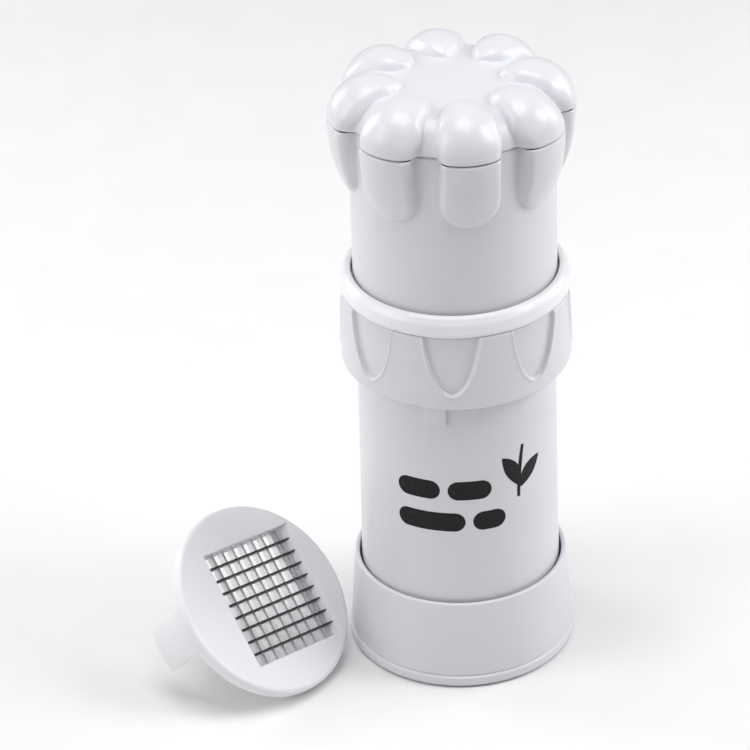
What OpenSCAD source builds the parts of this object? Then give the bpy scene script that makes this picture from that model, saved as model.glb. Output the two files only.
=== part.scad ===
// Twist-action garlic press: turning the lobed knob drives a studded pusher
// down a rectangular chamber, through a blade insert, into a storage tube
// that stands in a loose base cup.  A second blade insert lies beside it.
// Units are millimetres, +Z is up, the table is z = 0.

/* [Base cup] */
// radius of the foot on the table
foot_r = 33.5; // [30:0.1:42]
// height of the cup's lip above the table
cup_h = 27.8; // [18:0.1:40]
// thickness of the cup's floor
cup_floor = 3; // [2:0.1:5]
// thickness of the cup's wall at its lip
cup_lip = 1.3; // [1:0.1:2]
// height of the plug ring that enters the tube
plug_h = 11; // [8:0.5:20]
// radial thickness of the plug ring
plug_wall = 2.9; // [2.5:0.1:4]

/* [Storage tube] */
// outer radius of the tube where it meets the collar
tube_r = 28.5; // [26:0.1:32]
// extra radius of the tube at its foot
tube_draft = 0.9; // [0:0.1:2]
// radial thickness of the tube at the collar
tube_wall = 1.6; // [1.4:0.1:2.2]
// height of the underside of the collar above the table
collar_z = 95; // [60:0.5:130]
// width of the raised index pad under the collar
pad_w = 7; // [4:0.5:12]
// height of the raised index pad
pad_h = 6.6; // [3:0.1:8]
// how far the index pad stands out of the tube
pad_out = 1.2; // [0.5:0.1:2]
// direction of the index pad round the tube, degrees
pad_az = -103; // [-180:1:180]

/* [Collar] */
// outer radius of the collar and of its bead
collar_r = 33; // [31.5:0.1:36]
// height of the scalloped part of the collar
collar_h = 23.5; // [23:0.1:30]
// height of the smooth bead above it
bead_h = 5.9; // [5.5:0.1:9]
// number of scallops round the collar
scallops = 8; // [5:1:12]
// half-width of a scallop at its open top
scallop_w = 8; // [4:0.1:9]
// height of a scallop's closed end above the collar's underside
scallop_z = 4.8; // [4:0.1:10]
// depth of a scallop
scallop_depth = 1; // [0.5:0.1:1.2]
// direction of the first scallop, degrees
scallop_az = -92.5; // [-180:0.5:180]
// turn that locks the collar on the tube, degrees
lock_turn = 30; // [20:1:35]

/* [Blade inserts] */
// radius of an insert's disc
insert_r = 29.6; // [29:0.1:30]
// thickness of the disc
insert_t = 4; // [3:0.1:5]
// length of the lifting tongue, from the top face of the disc
tongue_l = 18.5; // [10:0.1:18.6]
// width of the lifting tongue
tongue_w = 14.4; // [8:0.1:18]
// spacing of the dicing blades
pitch = 4; // [3.6:0.1:4]
// cells along the short side of the window
cells_u = 8; // [6:1:8]
// cells along the long side of the window
cells_v = 9; // [6:1:9]
// cells between the slicing blades, along the long side
slices = 12; // [6:1:14]
// offset of the window from the middle, away from the tongue
shift = 2.8; // [0:0.1:3]
// thickness of a blade
blade_t = 0.4; // [0.2:0.05:0.6]
// height of a blade
blade_h = 3; // [2:0.1:3.2]
// thickness of the clamp disc behind the blades
clamp_t = 3; // [2:0.1:4]

/* [Spare insert on the table] */
// middle of its top face, across
spare_x = -57.6; // [-90:0.1:-50]
// middle of its top face, front to back
spare_y = -19.9; // [-60:0.1:60]
// middle of its top face, above the table
spare_z = 23.65; // [20:0.05:40]
// its lean and heading, degrees
spare_turn = [43.6, 9.03, 46.4];

/* [Knob] */
// radius of the knob's plain sleeve
sleeve_r = 29; // [28.9:0.1:29.6]
// height of the sleeve from the bead up to the seam
sleeve_h = 49.2; // [44:0.1:65]
// number of lobes round the knob
lobes = 8; // [6:1:10]
// width of a lobe
lobe_w = 17.2; // [12:0.1:20]
// radius of a lobe's rounded back
lobe_crown = 15; // [11:0.5:25]
// reach of the lobes from the axis
lobe_r = 34.8; // [32:0.1:38]
// height of the upper half of a lobe
lobe_up = 12; // [9:0.1:14]
// length of the lower half of a lobe
lobe_down = 22; // [14:0.1:30]
// direction of the first lobe, degrees
lobe_az = -81; // [-180:1:180]
// radius of the inner ends of the lobes
lobe_in = 13.6; // [8:0.1:16]

/* [Screw drive] */
// travel of the pusher for one turn of the knob
lead = 8; // [5:0.5:12]
// mean radius of the spindle
spindle_r = 5; // [4.5:0.1:5.2]
// height of its rounded threads, half of crest to root
thread_a = 0.75; // [0.4:0.05:0.9]
// number of starts
starts = 3; // [2:1:4]
// height of the threaded nut
nut_h = 8; // [6:0.5:12]
// thickness of the pusher plate
plate_t = 3; // [2.8:0.1:4]
// height of the pusher's studs
stud_h = 1.5; // [1:0.1:3]

/* [Clearances] */
// gap between the tube and the cup's lip
cup_gap = 0.7; // [0.4:0.1:1.2]
// gap of the parts that drop in place
loose = 0.3; // [0.15:0.05:0.5]
// gap of the parts that turn in each other
turning = 0.2; // [0.1:0.05:0.4]
// gap of the parts that are fixed together
fixed = 0.1; // [0.05:0.05:0.15]
// gap of the moving threads
thread_gap = 0.25; // [0.2:0.05:0.4]

/* [Hidden] */
$fn = 96;
e = 0.01;

// levels
collar_top = collar_z + collar_h;
bead_top = collar_top + bead_h;
lip_h = 2.3;
flange_t = 2.2;
washer_t = 0.8;
face_z = collar_top - flange_t - turning;
rim_z = face_z - insert_t;
washer_z = face_z + flange_t;
sleeve_z = washer_z + washer_t;
sleeve_flange = 2.2;
seam_z = bead_top + sleeve_h - 0.6;
cap_z = seam_z + 0.4;
core_up = lobe_up - 3.5;
deck_z = seam_z - 6.1;
deck_t = 2.5;
roof_z = seam_z + 0.6;
roof_t = 2.5;
stem_top = roof_z - 0.6;
end_gap = 1.2;
travel = (stem_top - plate_t - stud_h - face_z - 0.6 - nut_h - end_gap) / 2;
stem_len = travel + nut_h + end_gap;
plate_top = stem_top - stem_len;
plate_z = plate_top - plate_t;
magazine_top = plate_top + 3.2;

// radii
function tube_at(z) = tube_r + tube_draft * (1 - z / collar_z);
tube_bore = tube_r - tube_wall;
neck_r = tube_r - loose;
tongue_in = neck_r + 0.15;
key_in = insert_r + 0.15;
key_out = key_in + 0.8;
collar_bore = key_out + 0.15;
flange_r = collar_bore + 0.4;
counter_r = flange_r + fixed;
lip_bore = insert_r + 0.15;
lug_angles = [0, 120, 240];
key_angles = [120, 240];
plug_r = tube_bore - 0.8;
seal_r = 0.95;
clamp_r = tube_bore - loose;
sleeve_bore = sleeve_r - 1.8;
bead_bore = sleeve_r + 0.6;

// window, chamber and pusher
win_u = cells_u * pitch;
win_v = cells_v * pitch;
room_u = win_u + 0.6;
room_v = win_v + 0.6;
room_wall = 1.4;
stem_r = 9;
stem_flange_r = min(12.9, win_u / 2 - shift - 0.3);
nut_r = spindle_r + thread_a + thread_gap + 1.9;
hub_r = stem_r + 0.6;

// half-section of a ring with rounded outer edges
module rim(ri, ro, z0, z1, fb, ft) {
    translate([ri, z0])
        square([ro - ri - fb, z1 - z0 - ft]);
    translate([ri, z0 + fb])
        square([ro - ri - ft, z1 - z0 - fb]);
    translate([ri, z0 + fb])
        square([ro - ri, z1 - z0 - fb - ft]);
    translate([ro - fb, z0 + fb])
        circle(fb);
    translate([ro - ft, z1 - ft])
        circle(ft);
}

// flat ring
module ring(ri, ro, z0, z1) {
    translate([0, 0, z0])
        difference() {
            cylinder(r = ro, h = z1 - z0);
            translate([0, 0, -1])
                cylinder(r = ri, h = z1 - z0 + 2);
        }
}

// block between two radii, a given width, centred on direction a
module block(a, ri, ro, w, z0, z1) {
    rotate([0, 0, a])
        translate([ri, -w / 2, z0])
            cube([ro - ri, w, z1 - z0]);
}

// flat rectangle with rounded corners, centred
module plate2(u, v, r) {
    square([u - 2 * r, v], center = true);
    square([u, v - 2 * r], center = true);
    for (x = [-1, 1], y = [-1, 1])
        translate([x * (u / 2 - r), y * (v / 2 - r)])
            circle(r);
}

// everything keyed to the inserts faces this way, tongue to the back
module keyed() {
    rotate([0, 0, -90])
        children();
}

// ---- base cup ----
module base_cup() color("white")
    difference() {
        union() {
            rotate_extrude() {
                rim(20, foot_r, 0, 3.4, 1.1, 1.3);
                square([tube_r, cup_floor]);
                polygon([[tube_at(cup_floor) + cup_gap, 1],
                    [foot_r - 0.5, 1.6],
                    [tube_at(cup_h) + cup_gap + cup_lip, cup_h - cup_lip / 2],
                    [tube_at(cup_h) + cup_gap, cup_h - cup_lip / 2]]);
                translate([tube_at(cup_h) + cup_gap + cup_lip / 2, cup_h - cup_lip / 2])
                    circle(cup_lip / 2);
            }
            ring(plug_r - plug_wall, plug_r, cup_floor - 0.5, cup_floor + plug_h);
        }
        rotate_extrude()
            polygon([[tube_r - 4, cup_floor], [tube_at(cup_floor) + cup_gap, cup_floor],
                [tube_at(cup_h) + cup_gap, cup_h], [tube_at(cup_h) + cup_gap, cup_h + 9],
                [plug_r, cup_h + 9], [plug_r, cup_floor]]);
        ring(plug_r - 1.2, plug_r + 1, cup_floor + 6.2, cup_floor + 8.2);
        ring(14, foot_r - 6, -1, 0.8);
    }

module cup_seal() color("gainsboro")
    rotate_extrude()
        translate([tube_bore - 0.05 - seal_r, cup_floor + 7.2])
            circle(seal_r);

// ---- storage tube ----
module container() color("white")
    difference() {
        union() {
            translate([0, 0, cup_floor])
                cylinder(r1 = tube_at(cup_floor), r2 = tube_r, h = collar_z - 0.4 - cup_floor);
            translate([0, 0, collar_z - 1])
                cylinder(r = neck_r, h = rim_z - collar_z + 1);
            block(pad_az, tube_r - 1, tube_r + pad_out, pad_w, collar_z - 0.4 - pad_h, collar_z - 0.4);
            keyed() {
                for (a = lug_angles)
                    block(a, tube_bore + 0.2, key_out, 4.6, collar_z + lip_h + loose, rim_z - 0.1);
                for (a = key_angles)
                    block(a, key_in, key_out, 4.6, rim_z - 2, face_z + flange_t - 0.5);
            }
        }
        translate([0, 0, -1])
            cylinder(r = tube_bore, h = face_z + 20);
    }

// ---- collar ----
module scallop_cut() {
    n = 12;
    top = collar_h - scallop_z;
    function bow(t) = scallop_w * (0.35 * sqrt(t) + 0.65 * sqrt(1 - pow(1 - t, 2)));
    right = [for (i = [0 : n]) [bow(pow(i / n, 2)), top * pow(i / n, 2)]];
    left = [for (i = [n : -1 : 1]) [-bow(pow(i / n, 2)), top * pow(i / n, 2)]];
    edge = [[scallop_w, top + 2], [-scallop_w, top + 2]];
    translate([collar_r - 8, 0, collar_z + scallop_z])
        rotate([90, 0, 90])
            linear_extrude(height = 12)
                polygon(concat(right, edge, left));
}

module collar() color("whitesmoke")
    difference() {
        rotate_extrude()
            difference() {
                rim(lip_bore, collar_r, collar_z, collar_top, 1.6, 0.7);
                translate([0, collar_z + lip_h])
                    square([collar_bore, collar_h]);
                translate([0, face_z])
                    square([counter_r, collar_h]);
            }
        difference() {
            for (k = [0 : scallops - 1])
                rotate([0, 0, scallop_az + k * 360 / scallops])
                    scallop_cut();
            translate([0, 0, collar_z - 1])
                cylinder(r = collar_r - scallop_depth, h = collar_h + 4);
        }
        keyed() {
            for (a = lug_angles)
                block(a, tube_bore, key_out + 0.2, 6, collar_z - 1, collar_z + lip_h + 1);
        }
    }

module retaining_ring() color("white")
    rotate_extrude()
        difference() {
            rim(bead_bore, collar_r, collar_top, bead_top, 1.2, 2.2);
            square([bead_bore, bead_top + 1]);
            translate([0, collar_top - 1])
                square([counter_r, washer_t + sleeve_flange + 1]);
        }

// ---- blade inserts, built face up with the tongue at -X ----
function rows(n, span) = [for (i = [1 : n - 1]) (i / n - 0.5) * span];

module window(z0, z1, grow) {
    translate([shift, 0, z0])
        linear_extrude(height = z1 - z0)
            square([win_u + grow, win_v + grow], center = true);
}

module insert_frame(vs, us) {
    difference() {
        union() {
            rotate_extrude()
                rim(5, insert_r, rim_z, face_z, 0.6, 1.2);
            intersection() {
                ring(tongue_in, insert_r - 0.1, face_z - tongue_l, face_z - 1.6);
                block(180, 10, insert_r + 1, tongue_w, face_z - tongue_l - 1, face_z - 1);
            }
        }
        window(rim_z - 1, face_z + 1, 0);
        translate([shift + win_u / 2 + 0.2, 0, face_z])
            rotate([0, 45, 0])
                cube([2.6, win_v - 0.4, 2.6], center = true);
        for (v = vs)
            translate([shift - win_u / 2 - 1.6, v - blade_t / 2 - 0.03, rim_z - 1])
                cube([win_u + 3.2, blade_t + 0.06, blade_h + 1]);
        for (u = us)
            translate([shift + u - blade_t / 2 - 0.03, -win_v / 2 - 1.6, rim_z - 1])
                cube([blade_t + 0.06, win_v + 3.2, blade_h + 1]);
        for (p = clamp_holes)
            translate([p[0], p[1], rim_z - 1])
                cylinder(r = 0.85, h = 3.4, $fn = 24);
    }
}

clamp_holes = [[-19, -10], [-19, 10], [23.4, -6], [23.4, 6]];

module insert_clamp() {
    difference() {
        translate([0, 0, rim_z - clamp_t])
            cylinder(r = clamp_r, h = clamp_t);
        window(rim_z - clamp_t - 1, rim_z + 1, 0);
        for (p = clamp_holes) {
            translate([p[0], p[1], rim_z - clamp_t - 1])
                cylinder(r = 1.1, h = clamp_t + 2, $fn = 24);
            translate([p[0], p[1], rim_z - clamp_t - 1])
                cylinder(r = 1.9, h = 2.2, $fn = 24);
        }
    }
}

module insert_screws() {
    for (p = clamp_holes)
        translate([p[0], p[1], 0]) {
            translate([0, 0, rim_z - clamp_t + 0.1])
                cylinder(r = 1.7, h = 1.1, $fn = 24);
            translate([0, 0, rim_z - clamp_t + 0.1])
                cylinder(r = 0.8, h = clamp_t + 2, $fn = 24);
        }
}

// one blade along X, its lower edge at z = 0, the sharp edge up
module blade(len) {
    translate([-len / 2, 0, 0])
        rotate([90, 0, 90])
            linear_extrude(height = len)
                polygon([[-blade_t / 2, 0], [blade_t / 2, 0], [blade_t / 2, blade_h - 0.7],
                    [0, blade_h], [-blade_t / 2, blade_h - 0.7]]);
}

module blades_long(vs, us) {
    difference() {
        for (v = vs)
            translate([shift, v, rim_z])
                blade(win_u + 3.1);
        for (u = us)
            translate([shift + u, 0, rim_z - 1])
                translate([-blade_t / 2 - 0.02, -win_v / 2, 0])
                    cube([blade_t + 0.04, win_v, blade_h / 2 + 1]);
    }
}

module blades_cross(vs, us) {
    difference() {
        for (u = us)
            translate([shift + u, 0, rim_z])
                rotate([0, 0, 90])
                    blade(win_v + 3.1);
        for (v = vs)
            translate([shift - win_u / 2, v - blade_t / 2 - 0.02, rim_z + blade_h / 2])
                cube([win_u, blade_t + 0.04, blade_h]);
    }
}

slice_rows = rows(slices, win_v);
dice_rows = rows(cells_v, win_v);
dice_cols = rows(cells_u, win_u);

module slicer_frame() color("white") keyed() insert_frame(slice_rows, []);
module slicer_clamp() color("white") keyed() insert_clamp();
module slicer_blades() color("silver") keyed() blades_long(slice_rows, []);
module slicer_screws() color("silver") keyed() insert_screws();

// carries an insert to its place on the table
module spare() {
    translate([spare_x, spare_y, spare_z])
        rotate(spare_turn)
            translate([0, 0, -face_z])
                children();
}

module dicer_frame() color("white") spare() insert_frame(dice_rows, dice_cols);
module dicer_clamp() color("white") spare() insert_clamp();
module dicer_blades_long() color("silver") spare() blades_long(dice_rows, dice_cols);
module dicer_blades_cross() color("silver") spare() blades_cross(dice_rows, dice_cols);
module dicer_screws() color("silver") spare() insert_screws();

// ---- chamber ----
module magazine() color("whitesmoke")
    keyed()
        difference() {
            union() {
                translate([0, 0, face_z])
                    cylinder(r = flange_r, h = flange_t);
                translate([shift, 0, face_z])
                    linear_extrude(height = magazine_top - face_z)
                        plate2(room_u + 2 * room_wall, room_v + 2 * room_wall, 4.4);
            }
            translate([shift, 0, face_z - 1])
                linear_extrude(height = magazine_top - face_z + 2)
                    plate2(room_u, room_v, 3);
            ring(tube_bore + 0.6, tube_bore + 2.1, face_z - 1, face_z + 1);
            for (a = key_angles)
                block(a, key_in - 0.15, key_out + 2, 5.2, face_z - 1, face_z + flange_t + 1);
        }

module magazine_gasket() color("gainsboro")
    ring(tube_bore + 0.65, tube_bore + 2.05, face_z + 0.02, face_z + 0.98);

module thrust_washer() color("silver")
    ring(sleeve_bore + 0.1, flange_r - 0.1, washer_z, sleeve_z);

// ---- knob ----
// section of a lobe, seen along it: x is the distance from its own axis
module lobe_section(inner, w) {
    intersection() {
        translate([lobe_up - lobe_crown, 0])
            circle(lobe_crown);
        translate([inner, -w / 2])
            square([lobe_up - inner + 1, w]);
    }
}

module lower_lobe() {
    axis_r = lobe_r - lobe_up;
    intersection() {
        translate([axis_r, 0, seam_z - lobe_down - 1])
            linear_extrude(height = lobe_down + 1)
                lobe_section(2.6, lobe_w + 2);
        translate([20, 0, 0])
            rotate([90, 0, 90])
                linear_extrude(height = 20) {
                    translate([0, seam_z - lobe_down + lobe_w / 2])
                        circle(lobe_w / 2);
                    translate([-lobe_w / 2, seam_z - lobe_down + lobe_w / 2])
                        square([lobe_w, lobe_down]);
                }
    }
}

module lower_taper() {
    drop = lobe_r - sleeve_r + 0.1;
    bend = (lobe_down * lobe_down + drop * drop) / (2 * drop);
    rotate_extrude()
        intersection() {
            translate([lobe_r + 0.6 - bend, seam_z])
                circle(bend, $fn = 180);
            translate([0, seam_z - lobe_down - 2])
                square([lobe_r + 1, lobe_down + 2]);
        }
}

module knob_sleeve() color("white") {
    rotate([0, 0, lobe_az + 180 / lobes]) difference() {
        union() {
            translate([0, 0, sleeve_z])
                cylinder(r = sleeve_r, h = seam_z - sleeve_z);
            translate([0, 0, sleeve_z])
                cylinder(r = flange_r - 0.1, h = sleeve_flange);
            intersection() {
                lower_taper();
                for (k = [0 : lobes - 1])
                    rotate([0, 0, (k + 0.5) * 360 / lobes])
                        lower_lobe();
            }
        }
        translate([0, 0, sleeve_z - 1])
            cylinder(r = sleeve_bore, h = seam_z - sleeve_z + 2);
    }
    difference() {
        union() {
            translate([0, 0, deck_z])
                cylinder(r = sleeve_bore + 0.6, h = deck_t);
            translate([0, 0, deck_z + 0.5])
                cylinder(r = hub_r + 2.2, h = roof_z + roof_t - deck_z - 0.5);
        }
        translate([0, 0, deck_z - 1])
            cylinder(r = hub_r, h = roof_z - deck_z + 1);
        translate([0, 0, roof_z - 1])
            cylinder(r = 4.2 + fixed, h = roof_t + 2, $fn = 6);
        for (a = [30, 150, 270])
            rotate([0, 0, a])
                translate([20, 0, deck_z - 1])
                    cylinder(r = 1.7, h = deck_t + 2, $fn = 32);
    }
}

module upper_lobe() {
    axis_r = lobe_r - lobe_up;
    half = 180 / lobes;
    intersection() {
        union() {
            translate([axis_r, 0, cap_z])
                rotate([90, 0, 0])
                    rotate_extrude(angle = 90)
                        lobe_section(0, lobe_w);
            translate([lobe_in - 1, 0, cap_z])
                rotate([90, 0, 90])
                    linear_extrude(height = axis_r - lobe_in + 1)
                        rotate([0, 0, 90])
                            lobe_section(0, lobe_w);
        }
        translate([0, 0, cap_z])
            linear_extrude(height = lobe_up + 1) {
                translate([lobe_in + 4, 0])
                    circle(4);
                polygon([[lobe_in + 3, -(lobe_in + 3) * tan(half) + 2.4],
                    [28, -28 * tan(half) + 2.4], [lobe_r + 1, -28 * tan(half) + 2.4],
                    [lobe_r + 1, 28 * tan(half) - 2.4], [28, 28 * tan(half) - 2.4],
                    [lobe_in + 3, (lobe_in + 3) * tan(half) - 2.4]]);
            }
    }
}

module top_cap() color("white")
    difference() {
        union() {
            rotate_extrude() {
                translate([0, cap_z])
                    square([sleeve_r + 0.5 - core_up, core_up]);
                intersection() {
                    translate([sleeve_r + 0.5 - core_up, cap_z])
                        circle(core_up);
                    translate([0, cap_z])
                        square([sleeve_r + 5, core_up + 1]);
                }
                translate([0, deck_z + deck_t + 0.2])
                    square([sleeve_bore - 0.3, cap_z - deck_z - deck_t]);
            }
            for (k = [0 : lobes - 1])
                rotate([0, 0, lobe_az + k * 360 / lobes])
                    upper_lobe();
        }
        difference() {
            union() {
                translate([0, 0, deck_z])
                    cylinder(r = sleeve_bore - 2, h = cap_z + core_up - 5.1 - deck_z);
                translate([0, 0, deck_z])
                    cylinder(r = 16.4, h = cap_z + core_up - 2.3 - deck_z);
            }
            for (a = [30, 150, 270])
                rotate([0, 0, a])
                    translate([20, 0, deck_z + deck_t + 0.05])
                        cylinder(r = 3.2, h = core_up + 10);
        }
        for (a = [30, 150, 270])
            rotate([0, 0, a])
                translate([20, 0, deck_z])
                    cylinder(r = 1.3, h = 11, $fn = 32);
    }

module cap_screws() color("silver")
    for (a = [30, 150, 270])
        rotate([0, 0, a])
            translate([20, 0, deck_z - 2]) {
                cylinder(r = 2.8, h = 2, $fn = 32);
                cylinder(r = 1.25, h = 12, $fn = 32);
            }

// ---- screw drive ----
module thread(grow, h) {
    n = 24;
    linear_extrude(height = h, twist = 360 * h / lead, slices = ceil(h / lead * 26), $fn = n)
        polygon([for (i = [0 : n - 1])
            let (a = i * 360 / n, r = spindle_r + grow + thread_a * cos(starts * a))
            [r * cos(a), r * sin(a)]]);
}

module spindle() color("gainsboro")
    difference() {
        union() {
            translate([0, 0, plate_top + end_gap])
                thread(0, roof_z - plate_top - end_gap);
            translate([0, 0, roof_z - 1])
                cylinder(r = 4.2, h = roof_t + 0.9, $fn = 6);
        }
        translate([0, 0, roof_z - 8])
            cylinder(r = 2, h = 20, $fn = 32);
    }

module spindle_washer() color("silver")
    ring(2.2, 6.5, roof_z + roof_t, roof_z + roof_t + 0.8);

module spindle_screw() color("silver")
    translate([0, 0, roof_z + roof_t + 0.8]) {
        difference() {
            cylinder(r = 3.8, h = 2.2, $fn = 48);
            translate([-3, -0.5, 1.2])
                cube([6, 1, 2]);
            translate([-0.5, -3, 1.2])
                cube([1, 6, 2]);
        }
        translate([0, 0, -9])
            cylinder(r = 1.9, h = 9.5, $fn = 32);
    }

module plunger_stem() color("whitesmoke")
    difference() {
        union() {
            translate([0, 0, plate_top])
                cylinder(r = stem_r, h = stem_len);
            translate([0, 0, plate_top])
                cylinder(r = stem_flange_r, h = 2.4);
        }
        translate([0, 0, plate_top - 1])
            cylinder(r = spindle_r + thread_a + 0.6, h = stem_len + 2);
        translate([0, 0, stem_top - nut_h])
            cylinder(r = nut_r + fixed, h = nut_h + 1, $fn = 6);
        for (a = [45, 135, 225, 315])
            rotate([0, 0, a])
                translate([10.9, 0, plate_top - 1])
                    cylinder(r = 1.15, h = 5, $fn = 24);
    }

module spindle_nut() color("gainsboro")
    translate([0, 0, stem_top - nut_h])
        difference() {
            cylinder(r = nut_r, h = nut_h, $fn = 6);
            rotate([0, 0, -360 * (stem_top - nut_h - plate_top - end_gap) / lead])
                translate([0, 0, -lead / 8])
                    rotate([0, 0, 45])
                        thread(thread_gap, nut_h + lead / 4);
        }

module pusher_plate() color("whitesmoke")
    difference() {
        union() {
            keyed()
                translate([shift, 0, plate_z])
                    linear_extrude(height = plate_t)
                        plate2(win_u, win_v, 2.7);
            keyed()
                for (i = [0 : cells_u - 1], j = [0 : cells_v - 1])
                    if (i > 0 && i < cells_u - 1 || j > 0 && j < cells_v - 1)
                        translate([shift + (i + 0.5) * pitch - win_u / 2 - 1.4,
                            (j + 0.5) * pitch - win_v / 2 - 1.4, plate_z - stud_h])
                            cube([2.8, 2.8, stud_h + 0.2]);
        }
        keyed()
            translate([shift, 0, plate_z + 0.9])
                linear_extrude(height = 1.2)
                    difference() {
                        square([win_u + 9, win_v + 9], center = true);
                        plate2(win_u - 1.2, win_v - 1.2, 2.1);
                    }
        for (a = [45, 135, 225, 315])
            rotate([0, 0, a])
                translate([10.9, 0, plate_top - 2.5])
                    cylinder(r = 0.95, h = 4, $fn = 24);
    }

module pusher_seal() color("gainsboro")
    keyed()
        translate([shift, 0, plate_z + 0.95])
            linear_extrude(height = 1.1)
                difference() {
                    plate2(room_u - 0.1, room_v - 0.1, 2.95);
                    plate2(win_u - 1.1, win_v - 1.1, 2.15);
                }

module pusher_screws() color("silver")
    for (a = [45, 135, 225, 315])
        rotate([0, 0, a])
            translate([10.9, 0, plate_top - 2.3]) {
                cylinder(r = 0.9, h = 4.8, $fn = 24);
                translate([0, 0, 4.7])
                    cylinder(r = 1.7, h = 1.3, $fn = 24);
            }

base_cup();
cup_seal();
container();
collar();
retaining_ring();
slicer_frame();
slicer_clamp();
slicer_blades();
slicer_screws();
dicer_frame();
dicer_clamp();
dicer_blades_long();
dicer_blades_cross();
dicer_screws();
magazine();
magazine_gasket();
thrust_washer();
knob_sleeve();
top_cap();
cap_screws();
spindle();
spindle_washer();
spindle_screw();
plunger_stem();
spindle_nut();
pusher_plate();
pusher_seal();
pusher_screws();
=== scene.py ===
# Looks for the twist-action garlic press.  Built in millimetres, then scaled.
import bpy
import math
import numpy as np
from mathutils import Matrix, Vector


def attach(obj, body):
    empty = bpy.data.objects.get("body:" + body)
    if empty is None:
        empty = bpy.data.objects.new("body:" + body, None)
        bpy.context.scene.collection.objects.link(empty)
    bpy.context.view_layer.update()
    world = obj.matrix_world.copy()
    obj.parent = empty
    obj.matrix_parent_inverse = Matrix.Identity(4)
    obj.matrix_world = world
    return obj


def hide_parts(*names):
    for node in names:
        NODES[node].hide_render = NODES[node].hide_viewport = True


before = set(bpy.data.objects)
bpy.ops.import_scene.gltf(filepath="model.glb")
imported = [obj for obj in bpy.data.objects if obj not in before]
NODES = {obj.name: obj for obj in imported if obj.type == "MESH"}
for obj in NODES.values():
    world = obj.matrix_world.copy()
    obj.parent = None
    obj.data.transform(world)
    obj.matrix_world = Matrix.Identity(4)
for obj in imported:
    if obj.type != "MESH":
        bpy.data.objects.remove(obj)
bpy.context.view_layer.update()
scene = bpy.context.scene
MM = 0.001
TURN = 2 * math.pi

# ---- levels of the press, mm above the table ----
COLLAR_Z = 95.0      # underside of the collar
RIM = 112.1          # rim of the tube
FACE = 116.1         # upper face of the mounted insert
COLLAR_TOP = 118.5   # top of the collar, under the bead ring
BEAD_TOP = 124.4     # top of the bead ring
SEAM = 173.0         # top of the knob sleeve
CAP = 173.4          # underside of the cap
DECK = SEAM - 6.1    # underside of the sleeve's inner deck

# ---- base cup, mm ----
FOOT_R = 33.5
CUP_H = 27.8
CUP_FLOOR = 3
CUP_GAP = 0.7        # between the tube and the cup's wall
CUP_LIP = 1.35       # thickness of the wall at the lip
PLUG_R = 26.1
PLUG_BORE = 23.2

# ---- tube, mm ----
TUBE_R = 28.5        # outer radius at the collar
TUBE_DRAFT = 0.9     # extra radius at the table
BORE = 26.9
KEY_IN = 29.75
KEY_OUT = 30.55

# ---- collar and bead ring, mm ----
COLLAR_R = 33.0
SCALLOPS = 8
SCALLOP_AZ = -92.5
SCALLOP_Z = 4.8      # lowest point of a scallop above the collar's underside
SCALLOP_H = 18.7
SCALLOP_HALF = 8.2

# ---- knob, mm ----
SLEEVE_R = 29.0
LOBES = 8
LOBE_AZ = -81.0
LOBE_R = 34.8        # reach of the lobes
LOBE_HALF = 8.6
LOBE_DOWN = 22.0     # length of a lower lobe
PEAK = 12.0          # height of an upper lobe
AXIS_R = LOBE_R - PEAK
CORE_IN = 21.0       # where the cap's rounded shoulder begins
CORE_UP = 8.5
CORE_POWER = 1.65    # superellipse of the shoulder

# ---- blade inserts, mm ----
INSERT_R = 29.6
CLAMP_R = 26.6
SHIFT = 2.8          # the window's centre, off the disc's
WIN_U = 32.0
WIN_V = 36.0


def tube_at(z):
    return TUBE_R + TUBE_DRAFT * (1 - z / COLLAR_Z)


# ---- materials ----
def new_material(name):
    m = bpy.data.materials.new(name)
    m.use_nodes = True
    nt = m.node_tree
    pos = nt.nodes.new("ShaderNodeTexCoord").outputs["Object"]
    return m, nt, nt.nodes["Principled BSDF"], pos


def noise(nt, coords, scale, detail=3.0, rough=0.5, stretch=None):
    n = nt.nodes.new("ShaderNodeTexNoise")
    n.inputs["Scale"].default_value = scale
    n.inputs["Detail"].default_value = detail
    n.inputs["Roughness"].default_value = rough
    if stretch is None:
        nt.links.new(coords, n.inputs["Vector"])
    else:
        mp = nt.nodes.new("ShaderNodeMapping")
        mp.inputs["Scale"].default_value = stretch
        nt.links.new(coords, mp.inputs["Vector"])
        nt.links.new(mp.outputs["Vector"], n.inputs["Vector"])
    return n.outputs["Fac"]


def ramp(nt, src, lo, hi, a, b):
    r = nt.nodes.new("ShaderNodeMapRange")
    r.inputs["From Min"].default_value = lo
    r.inputs["From Max"].default_value = hi
    r.inputs["To Min"].default_value = a
    r.inputs["To Max"].default_value = b
    nt.links.new(src, r.inputs["Value"])
    return r.outputs["Result"]


def tint(nt, src, c0, c1, lo=0.35, hi=0.65):
    r = nt.nodes.new("ShaderNodeValToRGB")
    r.color_ramp.elements[0].position = lo
    r.color_ramp.elements[0].color = (*c0, 1)
    r.color_ramp.elements[1].position = hi
    r.color_ramp.elements[1].color = (*c1, 1)
    nt.links.new(src, r.inputs["Fac"])
    return r.outputs["Color"]


def bump(nt, bsdf, heights):
    """Chains bumps, each a (height, strength, distance)."""
    last = None
    for src, strength, dist in heights:
        b = nt.nodes.new("ShaderNodeBump")
        b.inputs["Strength"].default_value = strength
        b.inputs["Distance"].default_value = dist
        nt.links.new(src, b.inputs["Height"])
        if last is not None:
            nt.links.new(last, b.inputs["Normal"])
        last = b.outputs["Normal"]
    nt.links.new(last, bsdf.inputs["Normal"])


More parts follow.
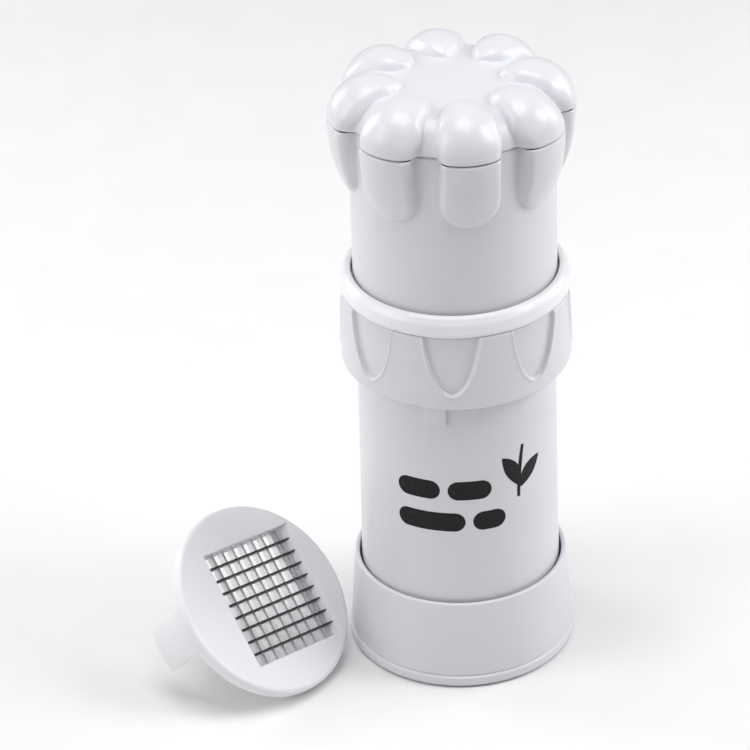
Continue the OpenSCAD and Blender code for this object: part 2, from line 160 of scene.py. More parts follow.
def plastic(name, c0, c1, r0, r1, coat=0.0, sss=0.0, peel=0.06):
    """Moulded plastic: faint clouding of colour, uneven gloss and orange peel."""
    m, nt, b, pos = new_material(name)
    cloud = noise(nt, pos, 55.0, 4.0, 0.55)
    nt.links.new(tint(nt, cloud, c0, c1, 0.05, 0.95), b.inputs["Base Color"])
    smear = noise(nt, pos, 90.0, 3.0, 0.5, (1.0, 1.0, 0.6))
    nt.links.new(ramp(nt, smear, 0.05, 0.95, r0, r1), b.inputs["Roughness"])
    fine = noise(nt, pos, 700.0, 1.0, 0.4)
    wave = noise(nt, pos, 45.0, 1.0, 0.3)
    bump(nt, b, [(fine, peel, 0.00005), (wave, peel, 0.0002)])
    b.inputs["IOR"].default_value = 1.49
    b.inputs["Coat Weight"].default_value = coat
    b.inputs["Coat Roughness"].default_value = 0.08
    b.inputs["Subsurface Weight"].default_value = sss
    b.inputs["Subsurface Radius"].default_value = (0.0022, 0.0020, 0.0018)
    b.inputs["Subsurface Scale"].default_value = 1.0
    return m


def steel(name, c0, c1, r0, r1, lines, axis):
    """Ground stainless: streaks along the strip."""
    m, nt, b, pos = new_material(name)
    stretch = tuple(0.06 if i == axis else 1.0 for i in range(3))
    grain = noise(nt, pos, lines, 5.0, 0.7, stretch)
    nt.links.new(tint(nt, grain, c0, c1, 0.3, 0.7), b.inputs["Base Color"])
    nt.links.new(ramp(nt, grain, 0.3, 0.7, r0, r1), b.inputs["Roughness"])
    bump(nt, b, [(grain, 0.25, 0.00005)])
    b.inputs["Metallic"].default_value = 1.0
    return m


def rubber(name, c0, c1):
    """Matt rubber with a fine grain."""
    m, nt, b, pos = new_material(name)
    n = noise(nt, pos, 300.0, 4.0)
    nt.links.new(tint(nt, n, c0, c1), b.inputs["Base Color"])
    nt.links.new(ramp(nt, n, 0.3, 0.7, 0.45, 0.62), b.inputs["Roughness"])
    bump(nt, b, [(n, 0.15, 0.0001)])
    b.inputs["Subsurface Weight"].default_value = 0.25
    b.inputs["Subsurface Radius"].default_value = (0.003, 0.003, 0.003)
    b.inputs["Subsurface Scale"].default_value = 1.0
    return m


def ink(name):
    """Pad print: dense black, a little thin in places."""
    m, nt, b, pos = new_material(name)
    n = noise(nt, pos, 700.0, 5.0, 0.6)
    black = tint(nt, n, (0.004, 0.004, 0.005), (0.012, 0.012, 0.013))
    nt.links.new(black, b.inputs["Base Color"])
    nt.links.new(ramp(nt, n, 0.3, 0.7, 0.32, 0.5), b.inputs["Roughness"])
    bump(nt, b, [(n, 0.08, 0.00005)])
    b.inputs["Specular IOR Level"].default_value = 0.2
    return m


def paper(name):
    """The floor's plain pale paper."""
    m, nt, b, pos = new_material(name)
    n = noise(nt, pos, 40.0, 3.0)
    pale = tint(nt, n, (0.80, 0.80, 0.802), (0.815, 0.815, 0.817))
    nt.links.new(pale, b.inputs["Base Color"])
    b.inputs["Roughness"].default_value = 0.75
    b.inputs["Specular IOR Level"].default_value = 0.2
    return m


# Roughness stays above 0.28 everywhere: a range that went down to 0.2 rendered with visible patch borders.
SHELL = plastic("white_shell", (0.66, 0.665, 0.705), (0.71, 0.715, 0.75), 0.29, 0.37, coat=0.16, sss=0.05)
# The bead ring is the shell's plastic made lighter: painted highlight for the top light that its
# upward-facing rounding catches.
RING_PAINTED_HIGHLIGHT = plastic("white_ring_painted_highlight", (0.80, 0.805, 0.83), (0.84, 0.845, 0.865), 0.29, 0.35, coat=0.2, sss=0.05)
INNER = plastic("white_inner", (0.64, 0.645, 0.665), (0.68, 0.685, 0.70), 0.38, 0.5, sss=0.06, peel=0.1)
FRAME = plastic("white_frame", (0.76, 0.765, 0.79), (0.81, 0.815, 0.835), 0.29, 0.4, coat=0.1, sss=0.06)
DRIVE = plastic("drive_plastic", (0.60, 0.61, 0.59), (0.65, 0.66, 0.64), 0.32, 0.42, sss=0.08, peel=0.08)
# Lit and shaded copies of one stainless steel. The long and slicer blades are painted near-black as painted
# shade for the shadowed floor they reflect. The cross blades are painted pale as a painted reflection of the
# bright floor.
BLADE_PAINTED_SHADE = steel("blade_steel", (0.03, 0.032, 0.036), (0.075, 0.078, 0.084), 0.29, 0.4, 420.0, 0)
CROSS_PAINTED_REFLECTION = steel("cross_steel_painted_reflection", (0.72, 0.73, 0.74), (0.88, 0.88, 0.89), 0.29, 0.38, 420.0, 1)
SCREW = steel("screw_steel", (0.42, 0.43, 0.46), (0.60, 0.60, 0.62), 0.29, 0.42, 500.0, 2)
SEAL = rubber("seal_rubber", (0.56, 0.575, 0.59), (0.63, 0.645, 0.655))
INK = ink("pad_print")


# ---- mesh helpers ----
def make(name, verts, faces, material, body, slot=None, sharp=38.0, nodes=()):
    """A piece from millimetres, riding on a body and standing for CAD nodes."""
    me = bpy.data.meshes.new(name)
    me.from_pydata((np.asarray(verts, float) * MM).tolist(), [], faces)
    me.validate()
    me.update()
    for p in me.polygons:
        p.use_smooth = True
    me.set_sharp_from_angle(angle=math.radians(sharp))
    o = bpy.data.objects.new(name, me)
    scene.collection.objects.link(o)
    me.materials.append(material)
    if nodes:
        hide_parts(*nodes)
    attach(o, body)


def fillet(points, steps=6):
    """(r, z, radius) corners of a closed profile, each rounded to its radius.

    A support point just past each end of an arc keeps smooth shading off the flats.
    """
    out = []
    n = len(points)
    for i, (x, y, rad) in enumerate(points):
        p = np.array([x, y])
        a = np.array(points[i - 1][:2])
        b = np.array(points[(i + 1) % n][:2])
        if rad <= 0:
            out.append(p)
            continue
        len_a, len_b = np.linalg.norm(a - p), np.linalg.norm(b - p)
        u, v = (a - p) / len_a, (b - p) / len_b
        half = math.acos(max(-1, min(1, float(u @ v)))) / 2
        d = min(rad / math.tan(half), 0.48 * len_a, 0.48 * len_b)
        r = d * math.tan(half)
        c = p + (u + v) / np.linalg.norm(u + v) * r / math.sin(half)
        near = 0.14 if min(len_a, len_b) > 2 * d + 0.5 else 0.0
        start, end = p + u * d - c, p + v * d - c
        if near:
            out.append(p + u * (d + near))
        t0, t1 = math.atan2(start[1], start[0]), math.atan2(end[1], end[0])
        dt = (t1 - t0 + math.pi) % TURN - math.pi
        for k in range(steps + 1):
            t = t0 + dt * k / steps
            out.append(c + r * np.array([math.cos(t), math.sin(t)]))
        if near:
            out.append(p + v * (d + near))
    return np.array(out)


def dense(profile, step, where):
    """Adds points along the long segments of a closed profile."""
    out = []
    n = len(profile)
    for i in range(n):
        a, b = profile[i], profile[(i + 1) % n]
        out.append(a)
        mid = (a + b) / 2
        k = int(np.linalg.norm(b - a) / step)
        if k > 1 and where(mid[0], mid[1]):
            out += [a + (b - a) * j / k for j in range(1, k)]
    return np.array(out)


def round_loops(r, z, t):
    """Loops in space from radii and heights [n_theta, n_loop] at the angles t."""
    return np.stack([r * np.cos(t)[:, None], r * np.sin(t)[:, None], z], -1)


def ring_mesh(loops):
    """Faces for an array of closed loops [n_theta, n_loop, 3], closed both ways."""
    n, m = loops.shape[:2]
    i = np.arange(n)[:, None] * m
    i2 = ((np.arange(n) + 1) % n)[:, None] * m
    j = np.arange(m)[None, :]
    j2 = (np.arange(m) + 1) % m
    f = np.stack([i + j, i2 + j, i2 + j2, i + j2], -1).reshape(-1, 4)
    return loops.reshape(-1, 3), f.tolist()


def weld(v, f, tol=1e-4):
    """Joins equal points and drops the faces that vanish."""
    v = np.asarray(v, float)
    key = np.round(v / tol).astype(np.int64)
    _, first, inv = np.unique(key, axis=0, return_index=True, return_inverse=True)
    inv = inv.reshape(-1)
    out = []
    for q in f:
        w = []
        for k in q:
            k = int(inv[k])
            if not w or (w[-1] != k and k != w[0]):
                w.append(k)
        if len(w) > 2:
            out.append(w)
    return v[first], out


def lathe(profile, n=256):
    """A closed profile turned about Z; points on the axis become one point."""
    t = np.linspace(0, TURN, n, endpoint=False)
    r, z = profile[:, 0], profile[:, 1]
    v, f = ring_mesh(round_loops(r, np.broadcast_to(z, (n, len(z))), t))
    return weld(v, f)


def join(*parts):
    """One mesh from several, their points renumbered."""
    vs, fs, n = [], [], 0
    for v, f in parts:
        vs.append(np.asarray(v, float))
        fs += [[k + n for k in q] for q in f]
        n += len(v)
    return np.concatenate(vs), fs


def smoothstep(x, a, b):
    t = np.clip((x - a) / (b - a), 0, 1)
    return t * t * (3 - 2 * t)


def nearest(theta, azimuth, count):
    """Angle from the nearest of a ring of equal features."""
    step = TURN / count
    return (theta - math.radians(azimuth) + step / 2) % step - step / 2


def eased(a, b, edge, ends, middle):
    """Points from a to b, closer together within edge of each end."""
    return np.concatenate([np.linspace(a, a + edge, ends), np.linspace(a + edge, b - edge, middle)[1:-1],
                           np.linspace(b - edge, b, ends)])


def grid_faces(m, n, first=0, flip=False):
    """Quads of an m by n grid of points whose numbers start at first."""
    out = []
    for i in range(m - 1):
        for j in range(n - 1):
            q = [i * n + j, (i + 1) * n + j, (i + 1) * n + j + 1, i * n + j + 1]
            out.append([first + k for k in (reversed(q) if flip else q)])
    return out


def grid_border(m, n):
    """(i, j) once round the border of an m by n grid."""
    return ([(i, 0) for i in range(m)] + [(m - 1, j) for j in range(1, n)]
            + [(i, n - 1) for i in range(m - 2, -1, -1)] + [(0, j) for j in range(n - 2, 0, -1)])


def round_drop(x, y, e):
    """How far a surface falls at (x, y) within the rounding e of its edges."""
    d = min(1.0, math.hypot(x, y))
    return e * (1 - math.sqrt(max(0.0, 1 - d * d)))


def bent_block(az, r0, r1, half, z0, z1, e=0.35, steps=3):
    """Rounded block on a cylinder: radii r0..r1, half-width half along the arc, heights z0..z1."""
    us = eased(-half, half, e, steps + 1, 9)
    zs = eased(z0, z1, e, steps + 1, 9)
    verts = []
    for u in us:
        for z in zs:
            a = math.radians(az) + u / r1
            du = max(0.0, abs(u) - (half - e)) / e
            dz = max(0.0, max(z0 + e - z, z - z1 + e)) / e
            r = r1 - round_drop(du, dz, e)
            verts.append((r * math.cos(a), r * math.sin(a), z))
    m, n = len(us), len(zs)
    faces = grid_faces(m, n)
    edge = grid_border(m, n)
    base = len(verts)
    for i, j in edge:
        a = math.radians(az) + us[i] / r1
        verts.append((r0 * math.cos(a), r0 * math.sin(a), zs[j]))
    k = len(edge)
    for q in range(k):
        a, b = edge[q], edge[(q + 1) % k]
        faces.append([a[0] * n + a[1], base + q, base + (q + 1) % k, b[0] * n + b[1]])
    faces.append([base + q for q in range(k)])
    return np.array(verts), faces


# ---- base cup ----
lip_in = tube_at(CUP_H) + CUP_GAP
cup = fillet([
    (0, 0, 0), (14, 0, 0.25), (14, 0.8, 0.2), (27.5, 0.8, 0.2), (27.5, 0, 0.25), (FOOT_R, 0, 1.1),
    (FOOT_R, 3.2, 1.5), (32.6, 3.45, 0.2), (32.95, 3.9, 0.3), (lip_in + CUP_LIP, CUP_H, 0.66),
    (lip_in, CUP_H, 0.55), (tube_at(CUP_FLOOR) + CUP_GAP, CUP_FLOOR, 0.4), (PLUG_R, CUP_FLOOR, 0.3),
    (PLUG_R, 9.2, 0.1), (24.9, 9.2, 0.1), (24.9, 11.2, 0.1), (PLUG_R, 11.2, 0.1),
    (PLUG_R, 14, 0.7), (PLUG_BORE, 14, 0.7), (PLUG_BORE, CUP_FLOOR, 0.8), (0, CUP_FLOOR, 0)], 7)
make("cup", *lathe(cup, 288), SHELL, "base", "white_shell", nodes=("base_cup",))

# ---- storage tube with its index pad, bayonet lugs and keys ----
tube = fillet([
    (tube_at(CUP_FLOOR), CUP_FLOOR, 0.5), (TUBE_R, COLLAR_Z - 0.4, 0.12), (TUBE_R - 0.3, COLLAR_Z - 0.2, 0.1),
    (TUBE_R - 0.3, RIM, 0.3), (BORE, RIM, 0.3), (BORE, CUP_FLOOR, 0.4)], 6)
pad = bent_block(-103, 28.0, TUBE_R + 1.2, 3.4, COLLAR_Z - 7.0, COLLAR_Z - 0.45, 0.35, 4)
lugs = [bent_block(a - 90, 27.6, KEY_OUT, 2.3, COLLAR_Z + 2.6, RIM - 0.1, 0.3) for a in (0, 120, 240)]
keys = [bent_block(a - 90, KEY_IN, KEY_OUT, 2.3, RIM - 2, FACE + 1.7, 0.3) for a in (120, 240)]
make("tube", *join(lathe(tube, 288), pad, *lugs, *keys), SHELL, "tube", "white_shell", nodes=("container",))


# ---- plain printed mark: bars and a two-leaf sprig, no lettering ----
def inked(path, width, n=26, m=7):
    """Patch of ink on the tube: path(t) gives (arc mm, height mm), width(t) its half-width."""
    verts, faces = [], []
    for k in range(n + 1):
        t = (1 - math.cos(math.pi * k / n)) / 2
        (x0, y0), (x1, y1) = path(max(0.0, t - 0.01)), path(min(1.0, t + 0.01))
        c = path(t)
        d = math.hypot(x1 - x0, y1 - y0)
        nx, ny = -(y1 - y0) / d, (x1 - x0) / d
        for j in range(m):
            w = width(t) * (2 * j / (m - 1) - 1)
            u, z = c[0] + nx * w, c[1] + ny * w
            a = -math.pi / 2 + u / 28.9
            for lift in (0.05, -0.12):
                r = tube_at(z) + lift
                verts.append((r * math.cos(a), r * math.sin(a), z))

    def at(i, j, low):
        return (i * m + j) * 2 + low

    for i in range(n):
        for j in range(m - 1):
            faces.append([at(i, j, 0), at(i, j + 1, 0), at(i + 1, j + 1, 0), at(i + 1, j, 0)])
            faces.append([at(i, j, 1), at(i + 1, j, 1), at(i + 1, j + 1, 1), at(i, j + 1, 1)])
        faces.append([at(i, 0, 0), at(i + 1, 0, 0), at(i + 1, 0, 1), at(i, 0, 1)])
        faces.append([at(i, m - 1, 0), at(i, m - 1, 1), at(i + 1, m - 1, 1), at(i + 1, m - 1, 0)])
    for j in range(m - 1):
        faces.append([at(0, j, 0), at(0, j, 1), at(0, j + 1, 1), at(0, j + 1, 0)])
        faces.append([at(n, j, 0), at(n, j + 1, 0), at(n, j + 1, 1), at(n, j, 1)])
    return np.array(verts), faces


def bar(u0, u1, z, h=6.2):
    """Bar with round ends."""
    r = h / 2

    def half(t):
        d = min(t, 1 - t) * (u1 - u0)
        return r if d > r else max(0.05, math.sqrt(max(0.0, r * r - (r - d) ** 2)))

    return inked(lambda t: (u0 + (u1 - u0) * t, z), half)


def leaf(p, q, w, bend):
    """Leaf from p to q, w its half-width, bent sideways."""
    dx, dy = q[0] - p[0], q[1] - p[1]
    d = math.hypot(dx, dy)

    def path(t):
        b = bend * math.sin(math.pi * t)
        return (p[0] + dx * t - dy / d * b, p[1] + dy * t + dx / d * b)

    return inked(path, lambda t: max(0.04, w * math.sin(math.pi * t) ** 0.8))


def stem():
    return inked(lambda t: (18.2 + 1.6 * t * t, 60.0 + 17.0 * t),
                 lambda t: 0.5 + 0.15 * math.sin(math.pi * t))


mark = [bar(-18.6, -5.6, 65.6), bar(-3.4, 9.4, 65.6), bar(-18.6, 1.6, 55.0), bar(3.8, 13.6, 55.0),
        stem(), leaf((18.0, 64.0), (12.8, 74.5), 2.3, -0.8), leaf((19.0, 63.0), (26.4, 71.0), 2.3, 0.8)]
make("printed_mark", *join(*mark), INK, "tube")


# ---- collar with scallops ----
def scallop(theta, z):
    """How far a point is inside a scallop, mm: positive inside."""
    x = np.abs(nearest(theta, SCALLOP_AZ, SCALLOPS)) * COLLAR_R
    t = np.clip((z - (COLLAR_Z + SCALLOP_Z)) / SCALLOP_H, -0.2, 1.1)
    a = np.clip(np.abs(t), 0.003, 1.0)
    arc = np.sqrt(1 - (1 - a) ** 2)
    w = SCALLOP_HALF * np.sign(t) * (0.35 * np.sqrt(a) + 0.65 * arc)
    slope = np.hypot(1.0, SCALLOP_HALF / SCALLOP_H * (0.175 / np.sqrt(a) + 0.65 * (1 - a) / arc))
    return (w - x) / slope


def collar(n=960, depth=1.05, notch_half=3.0):
    """Collar: a turned profile with the scallops sunk in it and notches in its lip for the lugs."""
    lip_r, room_r = 29.75, 30.7
    base = fillet([
        (lip_r, COLLAR_Z, 0.3), (COLLAR_R, COLLAR_Z, 1.7), (COLLAR_R, COLLAR_TOP, 0.75),
        (31.2, COLLAR_TOP, 0.15), (31.2, FACE, 0.1), (room_r, FACE, 0.1),
        (room_r, COLLAR_Z + 2.3, 0.15), (lip_r, COLLAR_Z + 2.3, 0.2)], 7)
    base = dense(base, 0.24, lambda r, z: r > 32.5 and z > COLLAR_Z + 1)
    t = np.linspace(0, TURN, n, endpoint=False)
    r = np.broadcast_to(base[:, 0], (n, len(base))).copy()
    z = np.broadcast_to(base[:, 1], (n, len(base))).copy()
    s = scallop(t[:, None], z)
    outer = r > 31.9
    cut = depth * smoothstep(s, 0.0, 0.6)
    ridge = 0.26 * np.exp(-((s + 0.12) / 0.34) ** 2) * (s < 0.6)
    r = np.where(outer, r - cut + ridge * (r > 32.6), r)
    lip = (base[:, 0] < 30.2)[None, :]
    notch = np.zeros_like(t)
    for a in (-90, 30, 150):
        d = (t - math.radians(a) + math.pi) % TURN - math.pi
        notch = np.maximum(notch, 1 - smoothstep(np.abs(d) * 30.0, notch_half - 0.15, notch_half + 0.15))
    r = np.where(lip, r + (room_r - r) * notch[:, None], r)
    return ring_mesh(round_loops(r, z, t))


make("collar_shell", *collar(), SHELL, "lock_ring", "white_shell", sharp=50, nodes=("collar",))

bead = fillet([
    (29.6, 121.5, 0.25), (31.2, 121.5, 0.1), (31.2, COLLAR_TOP, 0.1), (32.6, COLLAR_TOP + 0.05, 0.7),
    (COLLAR_R + 0.1, 119.7, 1.0), (32.5, 122.4, 2.8), (31.1, BEAD_TOP, 1.9), (29.6, BEAD_TOP, 0.45)], 9)
make("bead", *lathe(bead, 288), RING_PAINTED_HIGHLIGHT, "lock_ring", "white_shell", nodes=("retaining_ring",))


# ---- knob sleeve with the lower lobes ----
def lower_radius(theta, z):
    """Radius of the sleeve's outside: a lobe where its U outline reaches, the plain tube elsewhere."""
    phi = nearest(theta, LOBE_AZ, LOBES)
    down = np.clip(SEAM - z, 0, 30)
    drop = 5.4 * np.clip(down / LOBE_DOWN, 0, 1.2) ** 2.3
    x = LOBE_R - drop
    for _ in range(3):
        y = x * np.tan(np.abs(phi))
        x = LOBE_R - drop - y * y / 30.0
    y = x * np.tan(np.abs(phi))
    full = x / np.cos(phi)
    # distance to the U outline, negative inside
    below = np.minimum(0, z - (SEAM - LOBE_DOWN + LOBE_HALF))
    s = np.hypot(y, below) - LOBE_HALF
    rho = 1.7
    u = np.clip(s + rho, 0, rho) / rho
    h = np.maximum(full - SLEEVE_R - rho * (1 - np.sqrt(np.clip(1 - u * u, 0, 1))), 0)
    wall = 1 - smoothstep(s, 0.0, 0.5)
    foot = 0.35 * np.exp(-np.maximum(s, 0) / 0.35) * (h > 0.3) * (s > 0)
    return SLEEVE_R + h * wall + foot


def sleeve(n=1152, top_r=0.7):
    """Sleeve: its turned inside, its lobed outside, and a rounded top edge."""
    t = np.linspace(0, TURN, n, endpoint=False)
    zs = np.concatenate([np.linspace(121.3, 149.0, 6), np.linspace(149.6, SEAM - top_r, 104)])
    inner = fillet([
        (27.2, SEAM, 0.2), (27.2, 119.1, 0.2), (31.0, 119.1, 0.15),
        (31.0, 121.3, 0.15), (29.0, 121.3, 0)], 3)[:-1]
    columns = [(np.full(n, r), np.full(n, z)) for r, z in inner]
    columns += [(lower_radius(t, np.full(n, z)), np.full(n, z)) for z in zs]
    top = lower_radius(t, np.full(n, SEAM))
    for k in range(1, 6):
        a = k * math.pi / 10
        columns.append((top - top_r * (1 - math.cos(a)), np.full(n, SEAM - top_r + top_r * math.sin(a))))
    r = np.stack([c[0] for c in columns], 1)
    z = np.stack([c[1] for c in columns], 1)
    return ring_mesh(round_loops(r, z, t))


deck = fillet([
    (9.6, DECK, 0.2), (27.4, DECK, 0), (27.4, DECK + 2.5, 0), (11.8, DECK + 2.5, 0.5),
    (11.8, SEAM + 3.1, 0.4), (4.0, SEAM + 3.1, 0.1), (4.0, SEAM + 0.6, 0.1), (9.6, SEAM + 0.6, 0.4)], 4)
make("knob_body", *join(sleeve(), lathe(deck, 96)), SHELL, "knob", "white_shell", sharp=60,
     nodes=("knob_sleeve",))


# ---- cap with the upper lobes ----
def lobe_field(rho, z, phi):
    """Positive outside the upper lobe."""
    x, y = rho * np.cos(phi), np.abs(rho * np.sin(phi))
    q = np.where(x > AXIS_R, np.hypot(np.maximum(x - AXIS_R, 0), z - CAP), z - CAP)
    bulge = LOBE_HALF + 0.7 * smoothstep(z - CAP, 0.0, 4.0)
    wedge = np.minimum(bulge, x * math.tan(math.pi / LOBES) - 1.8)
    end = np.clip((17.9 - x) / 4.3, 0, 1)
    w = wedge * np.sqrt(np.clip(1 - end * end, 0, 1)) - np.maximum(0, 13.6 - x)
    side = 2.6
    u = (y - w + side) / side
    flank = side * (1 - np.sqrt(np.clip(1 - np.clip(u, 0, 0.96) ** 2, 0, 1)))
    flank += 9.0 * side * np.maximum(u - 0.96, 0)
    crown = 1 / 30.0 + (1 / 21.0 - 1 / 30.0) * smoothstep(z - CAP, 0.0, 8.0)
    inward = np.maximum(0, 20.5 - x) ** 2 / 17.0
    return q - (PEAK - y * y * crown - flank - inward)


def outward(r0, z0, dr, dz, phi, core, blend=0.55):
    """Distance along a ray to the outside of core and lobe, blended."""
    lo, hi = np.full(phi.shape, 0.5), np.full(phi.shape, 17.0)
    for _ in range(34):
        mid = (lo + hi) / 2
        inside = lobe_field(r0 + dr * mid, z0 + dz * mid, phi) < 0
        lo, hi = np.where(inside, mid, lo), np.where(inside, hi, mid)
    d = lo - core
    return core + np.where(d > 3, d, blend * np.log1p(np.exp(np.clip(d / blend, -30, 30))))


def cap(n=1152):
    """Cap: its turned underside, its lobed shoulder by rays from a circle, its top by rays straight up."""
    t = np.linspace(0, TURN, n, endpoint=False)
    phi = nearest(t, LOBE_AZ, LOBES)
    under = [(0, CAP + 6.2), (19, CAP + 6.2), (19, CAP + 3.4), (25.2, CAP + 3.4), (25.2, DECK + 2.8),
             (26.9, DECK + 2.8), (26.9, CAP - 0.1), (27.2, CAP)]
    columns = list(under)
    slopes = np.radians(np.concatenate([[0.0, 0.6, 1.4], np.linspace(2.6, 90, 78)]))
    for k, p in enumerate(slopes):
        c, s = math.cos(p), math.sin(p)
        core = CORE_UP / (c ** CORE_POWER + s ** CORE_POWER) ** (1 / CORE_POWER)
        # the first three rays round the cap's lower edge
        inset = 0.35 * (1 - math.sqrt(1 - (1 - min(1.0, k / 3)) ** 2)) if k < 3 else 0.0
        reach = outward(CORE_IN, CAP, c, s, phi, core) - inset
        columns.append((CORE_IN + reach * c, CAP + reach * s))
    for r in np.concatenate([np.linspace(20.8, 12.0, 52), np.linspace(11.5, 0.0, 12)]):
        up = CORE_UP + 0.45 * (1 - min(1.0, r / 18.0) ** 2)
        columns.append((r, CAP + outward(r, CAP, 0.0, 1.0, phi, up)))
    r = np.stack([np.broadcast_to(np.asarray(c[0], float), (n,)) for c in columns], 1)
    z = np.stack([np.broadcast_to(np.asarray(c[1], float), (n,)) for c in columns], 1)
    v, f = ring_mesh(round_loops(r, z, t))
    m = len(columns)
    # the underside and the top both end on the axis, so nothing joins the last column to the first
    f = [q for q in f if q[0] % m != m - 1]
    return weld(v, f)


make("knob_cap", *cap(), SHELL, "knob", "white_shell", sharp=60, nodes=("top_cap",))


# ---- blade inserts, in the insert's own frame: upper face at z = 0, tongue on -X ----
def around(n_u=24, n_v=28):
    """Points round the window's edge with their outward directions."""
    u, v = WIN_U / 2, WIN_V / 2
    return ([(u, -v + 2 * v * k / n_v, 1, 0) for k in range(n_v)]
            + [(u - 2 * u * k / n_u, v, 0, 1) for k in range(n_u)]
            + [(-u, v - 2 * v * k / n_v, -1, 0) for k in range(n_v)]
            + [(-u + 2 * u * k / n_u, -v, 0, -1) for k in range(n_u)])


def section(x, y, ox, oy, radius, z0, z1, bev_top, bev_bottom, edge, ramp_w, n):
    """Closed section of the disc from the window's edge at (x, y) out to the rim and back."""
    a = math.atan2(y, x + SHIFT)
    c, s = math.cos(a), math.sin(a)
    x += SHIFT
    loop = [(x, y, z0 + edge * 0.4)]
    if ramp_w and ox > 0:
        loop.append((x, y, z1 - 2.1))
        loop.append((x + ramp_w * 0.5, y + oy * edge * 0.5, z1 - 1.0))
        loop.append((x + ramp_w, y + oy * edge, z1))
    else:
        loop.append((x, y, z1 - edge))
        loop.append((x + ox * edge * 0.3, y + oy * edge * 0.3, z1 - edge * 0.3))
        loop.append((x + ox * edge, y + oy * edge, z1))
    rim = radius - bev_top
    x_in, y_in = loop[-1][:2]
    for k in (0.03, 0.33, 0.66, 0.975, 1.0):
        loop.append((x_in + (rim * c - x_in) * k, y_in + (rim * s - y_in) * k, z1))
    for k in range(1, n + 1):
        b = k * math.pi / 2 / n
        r = rim + bev_top * math.sin(b)
        loop.append((r * c, r * s, z1 - bev_top * (1 - math.cos(b))))
    for k in range(n + 1):
        b = k * math.pi / 2 / n
        r = radius - bev_bottom * (1 - math.cos(b))
        loop.append((r * c, r * s, z0 + bev_bottom * (1 - math.sin(b))))
    loop.append((x + ox * edge * 0.4, y + oy * edge * 0.4, z0))
    return loop


def disc_with_window(radius, z0, z1, bev_top, bev_bottom, edge, ramp_w=0.0, n=4):
    """Round disc with the rectangular window, edges rounded; the +X side of the window may be a ramp."""
    pts = around()
    loops = []
    for i, (x, y, nx, ny) in enumerate(pts):
        px, py = pts[i - 1][2:]
        corner = (nx, ny) != (px, py)
        ox, oy = (nx + px, ny + py) if corner else (nx, ny)
        loops.append(section(x, y, ox, oy, radius, z0, z1, bev_top, bev_bottom, edge, ramp_w, n))
    loops = np.array(loops)
    # two more sections between neighbours, kept round where they run along the rim
    fine = []
    for i in range(len(loops)):
        a, b = loops[i], loops[(i + 1) % len(loops)]
        for k in range(3):
            w = k / 3
            p = a * (1 - w) + b * w
            for j in range(8, len(p) - 1):
                want = math.hypot(*a[j][:2]) * (1 - w) + math.hypot(*b[j][:2]) * w
                p[j][:2] *= want / math.hypot(*p[j][:2])
            fine.append(p)
    return ring_mesh(np.array(fine))


def tongue(r0=28.35, r1=29.5, half=7.2, z0=-18.5, z1=-1.4, e=0.4):
    """Curved lifting tongue on the -X side."""
    ys = eased(-half, half, e, 4, 15)
    zs = np.concatenate([np.linspace(z0, z0 + e, 4), np.linspace(z0 + e, z1, 10)[1:]])
    outer, inner = [], []
    for y in ys:
        a = math.pi - y / r1
        c, s = math.cos(a), math.sin(a)
        for z in zs:
            i = round_drop(max(0.0, abs(y) - half + e) / e, max(0.0, z0 + e - z) / e, e)
            outer.append(((r1 - i) * c, (r1 - i) * s, z))
            inner.append(((r0 + i) * c, (r0 + i) * s, z))
    m, n = len(ys), len(zs)
    other = m * n
    faces = grid_faces(m, n) + grid_faces(m, n, other, flip=True)
    edge = grid_border(m, n)
    for q in range(len(edge)):
        a, b = edge[q], edge[(q + 1) % len(edge)]
        a, b = a[0] * n + a[1], b[0] * n + b[1]
        faces.append([a, other + a, other + b, b])
    return np.array(outer + inner), faces


def turned(degrees, axis):
    return Matrix.Rotation(math.radians(degrees), 4, axis)


def placed(mesh, m):
    """A mesh moved from the insert's frame to where it lies."""
    v, f = mesh
    return np.asarray(v, float) @ np.array(m.to_3x3()).T + np.array(m.translation), f


MOUNTED = Matrix.Translation((0, 0, FACE)) @ turned(-90, "Z")
SPARE = Matrix.Translation((-57.6, -19.9, 23.65)) @ turned(46.4, "Z") @ turned(9.03, "Y") @ turned(43.6, "X")
frame_part = join(disc_with_window(INSERT_R, -4.0, 0.0, 1.3, 0.7, 0.45, 2.3), tongue())
clamp_part = disc_with_window(CLAMP_R, -7.0, -4.02, 0.15, 0.6, 0.3)
for tag, body, place in (("slicer", "tube", MOUNTED), ("dicer", "spare_insert", SPARE)):
    make(tag + "_frame_shell", *placed(frame_part, place), FRAME, body, "white_frame", sharp=45,
         nodes=(tag + "_frame",))
    make(tag + "_clamp_shell", *placed(clamp_part, place), INNER, body, "white_inner", sharp=45,
         nodes=(tag + "_clamp",))

# ---- carried-over CAD nodes ----
FINISH = {
    "cup_seal": SEAL, "slicer_blades": BLADE_PAINTED_SHADE, "slicer_screws": SCREW, "dicer_blades_long": BLADE_PAINTED_SHADE,
    "dicer_blades_cross": CROSS_PAINTED_REFLECTION, "dicer_screws": SCREW, "magazine": INNER, "magazine_gasket": SEAL,
    "thrust_washer": DRIVE, "cap_screws": SCREW, "spindle": DRIVE, "spindle_washer": SCREW,
    "spindle_screw": SCREW, "plunger_stem": INNER, "spindle_nut": DRIVE, "pusher_plate": INNER,
    "pusher_seal": SEAL, "pusher_screws": SCREW,
}
long_blades = NODES["dicer_blades_long"].modifiers.new("edge_width", "SOLIDIFY")
long_blades.thickness = 0.00013
long_blades.offset = 1.0
for name, m in FINISH.items():
    me = NODES[name].data
    me.materials.clear()
    me.materials.append(m)

# ---- floor and world ----
me = bpy.data.meshes.new("floor")
me.from_pydata([(-4, -4, 0), (4, -4, 0), (4, 4, 0), (-4, 4, 0)], [], [[0, 1, 2, 3]])
me.materials.append(paper("floor_paper"))
floor = bpy.data.objects.new("floor", me)
scene.collection.objects.link(floor)
floor.location.z = -0.0004

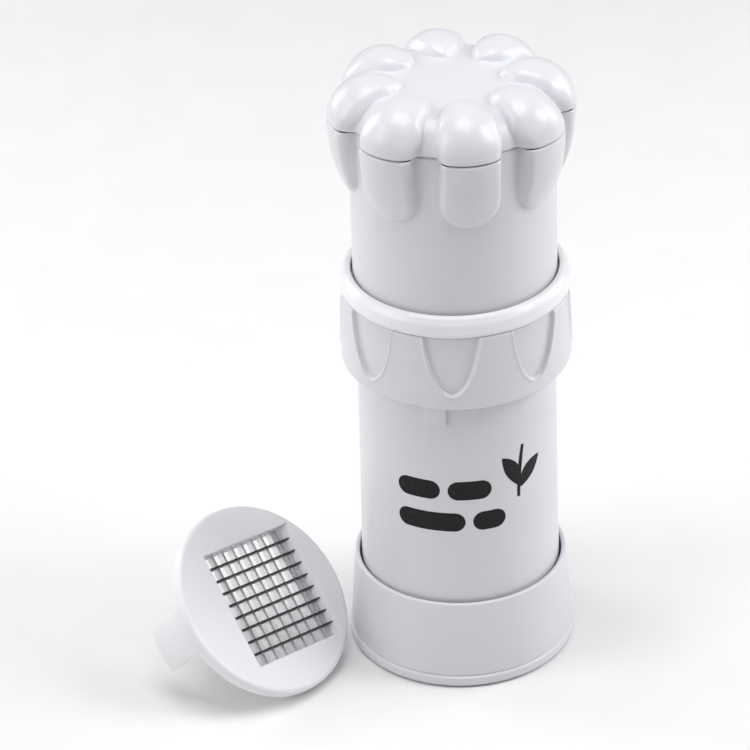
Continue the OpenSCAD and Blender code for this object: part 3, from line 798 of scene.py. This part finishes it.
world = bpy.data.worlds.new("studio")
world.use_nodes = True
background = world.node_tree.nodes["Background"]
background.inputs["Color"].default_value = (1.0, 1.0, 1.0, 1)
background.inputs["Strength"].default_value = 0.24
scene.world = world


# ---- lights ----
def area(name, loc, target, size, power):
    """Rectangular soft light at loc, facing target."""
    li = bpy.data.lights.new(name, "AREA")
    li.shape = "RECTANGLE"
    li.size, li.size_y = size
    li.energy = power
    o = bpy.data.objects.new(name, li)
    scene.collection.objects.link(o)
    o.location = loc
    o.rotation_mode = "QUATERNION"
    o.rotation_quaternion = (Vector(target) - Vector(loc)).to_track_quat("-Z", "Y")


middle = (0, 0, 0.09)
area("top", (-0.06, -0.10, 1.15), (0, 0.0, 0.05), (0.7, 0.6), 6.3)
area("right_high", (0.80, -0.10, 0.75), middle, (0.4, 0.5), 4.4)
area("left_front", (-0.87, -0.33, 0.62), middle, (0.6, 0.7), 3.8)
area("left_back", (-0.75, 0.45, 0.42), middle, (0.4, 0.6), 2.8)
area("right_back", (0.80, 0.35, 0.40), middle, (0.4, 0.6), 2.4)


# ---- camera ----
def camera(target, distance, elevation, azimuth, roll, lens):
    """Camera aimed at target, angles in degrees."""
    e, a, w = math.radians(elevation), math.radians(azimuth), math.radians(roll)
    forward = Vector((math.sin(a) * math.cos(e), math.cos(a) * math.cos(e), -math.sin(e)))
    level = Vector((math.cos(a), -math.sin(a), 0))
    upright = level.cross(forward)
    x = math.cos(w) * level + math.sin(w) * upright
    y = -math.sin(w) * level + math.cos(w) * upright
    at = Vector(target) - forward * distance
    data = bpy.data.cameras.new("camera")
    data.lens, data.sensor_width = lens, 36.0
    data.clip_start, data.clip_end = 0.05, 50.0
    cam = bpy.data.objects.new("camera", data)
    scene.collection.objects.link(cam)
    rows = [(x[i], y[i], -forward[i], at[i]) for i in range(3)]
    cam.matrix_world = Matrix((*rows, (0, 0, 0, 1)))
    scene.camera = cam


camera((-0.02363, 0, 0.08732), 1.0682, 31.649, -1.477, -1.939, 177.9)
scene.view_settings.view_transform = "Standard"
scene.view_settings.look = "None"
scene.view_settings.exposure = 0.0
